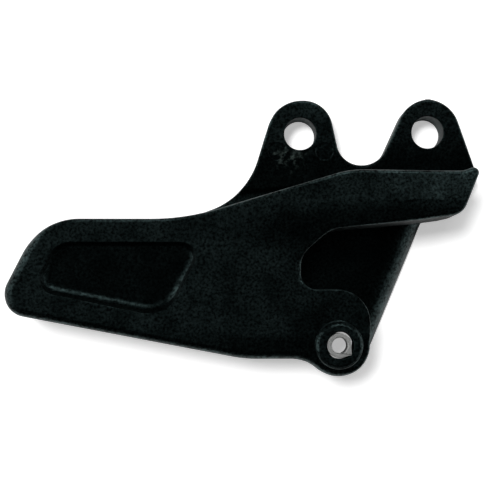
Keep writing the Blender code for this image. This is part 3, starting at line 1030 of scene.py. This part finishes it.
@dataclass(frozen=True)
class BlackNylon:
    """Glass-filled black nylon, injection moulded in a spark-eroded mould.

    The mould's grain leaves a fine satin bloom, the skin's flow a faint mottle and wide duller patches, and a cold
    green-grey cast. Walls that slide along the mould as the part is pushed out are duller than the faces, with less
    grain, and the faces that lie deep in shade have their sheen turned down, as painted shade.
    """

    colour: str = "#010202"
    sheen: str = "#d0ffff"
    sheen_middle: float = 0.5
    roughness: float = 0.34
    roughness_swing: float = 0.05
    wall_roughness: float = 0.55
    wall_grain: float = 0.3
    wall_span: Point = (0.1, 0.6)
    ior: float = 1.53
    grain: float = 1.1
    grain_depth: float = 0.03
    bloom: float = 0.45
    mottle: float = 2.2
    flow: float = 11.0
    flow_share: float = 0.35
    # Share of the sheen left on the faces in painted shade.
    painted_shade_sheen: float = 0.33
    worn: str = "#3c4643"
    worn_at: Corner = (-20.5, 82.0, 13.0)
    worn_reach: float = 11.5
    worn_grain: float = 3.8
    worn_span: Point = (0.5, 0.66)

    def worn_colour(self, tree: NodeTree, place: Socket, move: Array) -> Socket:
        """The nylon's colour, with the pale rubbed patch below the rear ear's hole.

        The patch is a blotchy pattern that fades out with the distance from its middle.

        Args:
            tree: The material's tree.
            place: The place on the object.
            move: What was added to the guide's points, in millimetres.

        Returns:
            The colour's socket.
        """
        middle = Vector(np.array(self.worn_at) + move) * MM
        away = tree.add("ShaderNodeVectorMath", {"operation": "DISTANCE"}, (place, middle)).outputs["Value"]
        near = tree.add("ShaderNodeMapRange", SMOOTH, (away, 0.0, self.worn_reach * MM, 1.0, 0.0)).outputs["Result"]
        noise = {"Vector": place, "Scale": 1.0 / (self.worn_grain * MM), "Detail": 4.0, "Roughness": 0.7}
        blotch = tree.add("ShaderNodeTexNoise", inputs=noise).outputs["Fac"]
        patch = tree.add("ShaderNodeMapRange", SMOOTH, (blotch, *self.worn_span)).outputs["Result"]
        share = tree.add("ShaderNodeMath", MULTIPLY, (near, patch)).outputs[0]
        colours = {0: share, 6: linear(self.colour), 7: linear(self.worn)}
        return tree.add("ShaderNodeMix", {"data_type": "RGBA"}, colours).outputs[2]

    def material(self, move: Array) -> bpy.types.Material:
        """The nylon's material, for a guide whose points were moved by so many millimetres."""
        made = bpy.data.materials.new("moulded_black_nylon")
        tree = NodeTree.of(made)
        place = tree.add("ShaderNodeTexCoord").outputs["Object"]
        normal = tree.add("ShaderNodeNewGeometry").outputs["Normal"]
        height = tree.add("ShaderNodeSeparateXYZ", None, (normal,)).outputs["Z"]
        rise = tree.add("ShaderNodeMath", {"operation": "ABSOLUTE"}, (height,)).outputs[0]
        grained, scuff = (
            tree.add("ShaderNodeMapRange", None, (rise, *self.wall_span, *ends)).outputs["Result"]
            for ends in ((self.wall_grain, 1.0), (self.wall_roughness - self.roughness, 0.0))
        )
        grain, mottle, flow = (
            tree.add(
                "ShaderNodeTexNoise",
                inputs={"Vector": place, "Scale": 1.0 / (size * MM), "Detail": detail, "Roughness": harsh},
            ).outputs["Fac"]
            for size, detail, harsh in ((self.grain, 3.0, 0.6), (self.mottle, 4.0, 0.65), (self.flow, 2.0, 0.55))
        )

        swing = (self.roughness - self.roughness_swing, self.roughness + self.roughness_swing)
        rough = tree.add("ShaderNodeMapRange", None, (mottle, 0.3, 0.7, *swing)).outputs["Result"]
        rough = tree.add("ShaderNodeMath", {"operation": "ADD"}, (rough, scuff)).outputs[0]

        bloom = tree.add("ShaderNodeMath", MULTIPLY, (grained, self.bloom)).outputs[0]
        ends = [
            tree.add("ShaderNodeMath", {"operation": sign}, (self.sheen_middle, bloom)).outputs[0]
            for sign in ("SUBTRACT", "ADD")
        ]
        sheen = tree.add("ShaderNodeMapRange", None, (grain, 0.35, 0.65, *ends)).outputs["Result"]
        shares = (1.0 - self.flow_share, 1.0 + self.flow_share)
        patches = tree.add("ShaderNodeMapRange", None, (flow, 0.35, 0.65, *shares)).outputs["Result"]
        # Painted shade: the sheen is turned down on the faces that the body marks as lying in shade.
        smooth = tree.add("ShaderNodeAttribute", {"attribute_name": "painted_shade_face"}).outputs["Fac"]
        shade_share = tree.add("ShaderNodeMapRange", None, (smooth, 0.0, 1.0, 1.0, self.painted_shade_sheen)).outputs["Result"]
        for share in (patches, shade_share):
            sheen = tree.add("ShaderNodeMath", MULTIPLY, (sheen, share)).outputs[0]

        relief = {"Height": grain, "Strength": grained, "Distance": self.grain_depth * MM}
        surface = tree.add(
            "ShaderNodeBsdfPrincipled",
            inputs={
                "Base Color": self.worn_colour(tree, place, move),
                "Roughness": rough,
                "IOR": self.ior,
                "Specular IOR Level": sheen,
                "Specular Tint": linear(self.sheen),
                "Normal": tree.add("ShaderNodeBump", inputs=relief).outputs["Normal"],
            },
        )
        tree.add("ShaderNodeOutputMaterial", inputs={"Surface": surface.outputs["BSDF"]})
        return made


@dataclass(frozen=True)
class ZincSteel:
    """Mild steel strip with a dull zinc plate: pale grey, softly blurred reflections, a fine rolled streak."""

    colour: str = "#dadcda"
    metallic: float = 0.8
    roughness: Point = (0.42, 0.6)
    streak: float = 0.35
    streak_depth: float = 0.03
    streak_share: float = 0.4

    def material(self) -> bpy.types.Material:
        """The steel's material."""
        made = bpy.data.materials.new("zinc_plated_steel")
        tree = NodeTree.of(made)
        place = tree.add("ShaderNodeTexCoord").outputs["Object"]
        noise = {"Vector": place, "Scale": 1.0 / (self.streak * MM), "Detail": 3.0, "Roughness": 0.6}
        streak = tree.add("ShaderNodeTexNoise", inputs=noise).outputs["Fac"]
        rough = tree.add("ShaderNodeMapRange", None, (streak, 0.3, 0.7, *self.roughness)).outputs["Result"]
        relief = {"Height": streak, "Strength": self.streak_share, "Distance": self.streak_depth * MM}
        surface = tree.add(
            "ShaderNodeBsdfPrincipled",
            inputs={
                "Base Color": linear(self.colour),
                "Metallic": self.metallic,
                "Roughness": rough,
                "Normal": tree.add("ShaderNodeBump", inputs=relief).outputs["Normal"],
            },
        )
        tree.add("ShaderNodeOutputMaterial", inputs={"Surface": surface.outputs["BSDF"]})
        return made


@dataclass(frozen=True)
class Panel:
    """A soft bright patch of the light tent: where it is, how wide and how bright."""

    towards: tuple[float, float, float]
    full: float
    gone: float
    strength: float


@dataclass(frozen=True)
class Studio:
    """A white table under a light tent that is open at the top, where the camera looks in, and at one side."""

    panels: tuple[Panel, ...] = (
        Panel((-0.12, 0.03, 1.0), 8.0, 16.0, 0.15),
        Panel((-0.88, 0.15, 0.45), 14.0, 36.0, 0.90),
        Panel((0.10, 0.66, 0.75), 6.0, 21.0, 1.90),
        Panel((0.96, 0.05, 0.25), 14.0, 36.0, 0.60),
    )
    key_towards: tuple[float, float, float] = (-0.26, 0.20, 1.0)
    key_width: float = 14.0
    key_strength: float = 2.2
    camera_lift: float = 0.44
    table_colour: str = "#f8f8f8"
    table_half: float = 3.0
    focal: float = 1195.0
    plumb: Point = (219.5, 294.5)
    bolt_pixel: Point = (339.4, 345.2)
    bolt_level: float = 38.1
    height: float = 530.0
    sensor: float = 36.0

    def table(self) -> bpy.types.Object:
        """The white table, one level square."""
        half = self.table_half
        data = bpy.data.meshes.new("table_top")
        corners = [(-half, -half, 0.0), (half, -half, 0.0), (half, half, 0.0), (-half, half, 0.0)]
        data.from_pydata(corners, [], [range(4)])
        data.materials.append(self.table_finish())
        made = placed("table_top", data)
        return made

    def table_finish(self) -> bpy.types.Material:
        """White laminate that keeps the shadow and is lifted to white for the camera."""
        made = bpy.data.materials.new("white_laminate")
        tree = NodeTree.of(made)
        seen = tree.add("ShaderNodeLightPath").outputs["Is Camera Ray"]
        lift = tree.add("ShaderNodeMath", MULTIPLY, (seen, self.camera_lift)).outputs[0]
        matt = tree.add("ShaderNodeBsdfDiffuse", inputs={"Color": linear(self.table_colour)})
        glow = tree.add("ShaderNodeEmission", inputs={"Color": WHITE, "Strength": lift})
        total = tree.add("ShaderNodeAddShader", inputs={0: matt.outputs[0], 1: glow.outputs[0]})
        tree.add("ShaderNodeOutputMaterial", inputs={"Surface": total.outputs[0]})
        return made

    def tent(self) -> None:
        """The world: the tent's panels in the dark, and plain white where the camera sees past the table.

        A panel's light is its strength inside its full angle and fades smoothly to nothing at its outer angle.
        """
        world = bpy.data.worlds.new("light_tent")
        tree = NodeTree.of(world)
        towards = tree.add("ShaderNodeTexCoord").outputs["Generated"]
        total = 0.0
        for panel in self.panels:
            aim = Vector(panel.towards).normalized()
            facing = tree.add("ShaderNodeVectorMath", {"operation": "DOT_PRODUCT"}, (towards, aim)).outputs["Value"]
            span = (math.cos(math.radians(panel.gone)), math.cos(math.radians(panel.full)))
            patch = tree.add("ShaderNodeMapRange", SMOOTH, (facing, *span, 0.0, panel.strength)).outputs["Result"]
            total = tree.add("ShaderNodeMath", {"operation": "ADD"}, (total, patch)).outputs[0]
        light, white = (
            tree.add("ShaderNodeBackground", inputs={"Color": WHITE, "Strength": strength}).outputs[0]
            for strength in (total, 1.0)
        )
        seen = tree.add("ShaderNodeLightPath").outputs["Is Camera Ray"]
        chosen = tree.add("ShaderNodeMixShader", inputs={0: seen, 1: light, 2: white})
        tree.add("ShaderNodeOutputWorld", inputs={"Surface": chosen.outputs[0]})
        bpy.context.scene.world = world

    def key(self) -> bpy.types.Object:
        """A soft lamp above the upper left, for the table's shadow: the nylon's sheen comes from the tent alone."""
        lamp = bpy.data.lights.new("soft_key", "SUN")
        lamp.energy = self.key_strength
        lamp.angle = math.radians(self.key_width)
        made = placed("soft_key", lamp)
        made.rotation_euler = Vector(self.key_towards).to_track_quat("Z", "Y").to_euler()
        made.visible_glossy = False
        return made

    def turn(self) -> Array:
        """The camera's axes as columns, level in x, with the plumb line through the camera at its picture point."""
        middle = PICTURE_MIDDLE
        down = np.array([self.plumb[0] - middle, middle - self.plumb[1], -self.focal])
        up = -down / np.linalg.norm(down)
        right = np.array([1.0, 0.0, 0.0]) - up * up[0]
        right /= np.linalg.norm(right)
        return np.array([right, np.cross(up, right), up])

    def camera(self, bolt: Point) -> bpy.types.Object:
        """The camera, above the guide, with the bolt's axis at its own point of the picture.

        Args:
            bolt: The bolt axis's place in the frame, in millimetres.

        Returns:
            The camera.
        """
        turn, middle = self.turn(), PICTURE_MIDDLE
        ray = turn @ np.array([self.bolt_pixel[0] - middle, middle - self.bolt_pixel[1], -self.focal])
        reach = ray * (self.bolt_level - self.height) / ray[2]
        lens = bpy.data.cameras.new("camera")
        lens.sensor_width = self.sensor
        lens.lens = self.focal / PICTURE_SIDE * self.sensor
        lens.clip_start = 10 * MM
        made = placed("camera", lens)
        made.matrix_world = Matrix(turn).to_4x4()
        made.location = ((bolt[0] - reach[0]) * MM, (bolt[1] - reach[1]) * MM, self.height * MM)
        bpy.context.scene.camera = made
        return made


def dress(piece: bpy.types.Object, node: str, material: bpy.types.Material) -> None:
    """Gives a finished piece its material and its place in the frame.

    Args:
        piece: The piece.
        node: The solid that it stands for.
        material: Its material.
    """
    piece.data.materials.clear()
    piece.data.materials.append(material)
    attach(piece, "root")
    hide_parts(node)
    LOG.info("%s stands for %s", piece.name, node)


def main() -> None:
    """Builds the guide, the table, the light and the camera."""
    logging.basicConfig(level=logging.INFO, format="%(name)s: %(message)s")
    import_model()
    low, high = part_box("boss_sleeve")
    bolt = ((low.x + high.x) / 2 / MM, (low.y + high.y) / 2 / MM)
    move = np.array([*bolt, 0.0])

    guide = GuideBody(Quality.FULL)
    body = guide.mesh("moulded_body", 190_000, move)
    # Marks the faces whose sheen is turned down, as painted shade.
    guide.mark_painted_shade(body, move)
    dress(body, "guide_body", BlackNylon().material(move))
    sleeve = Sleeve().mesh("rolled_sleeve", 40_000, move)
    dress(sleeve, "boss_sleeve", ZincSteel().material())

    studio = Studio()
    studio.table()
    studio.tent()
    studio.key()
    studio.camera(bolt)
    bpy.context.scene.view_settings.view_transform = "Standard"


if __name__ == "__main__":
    main()
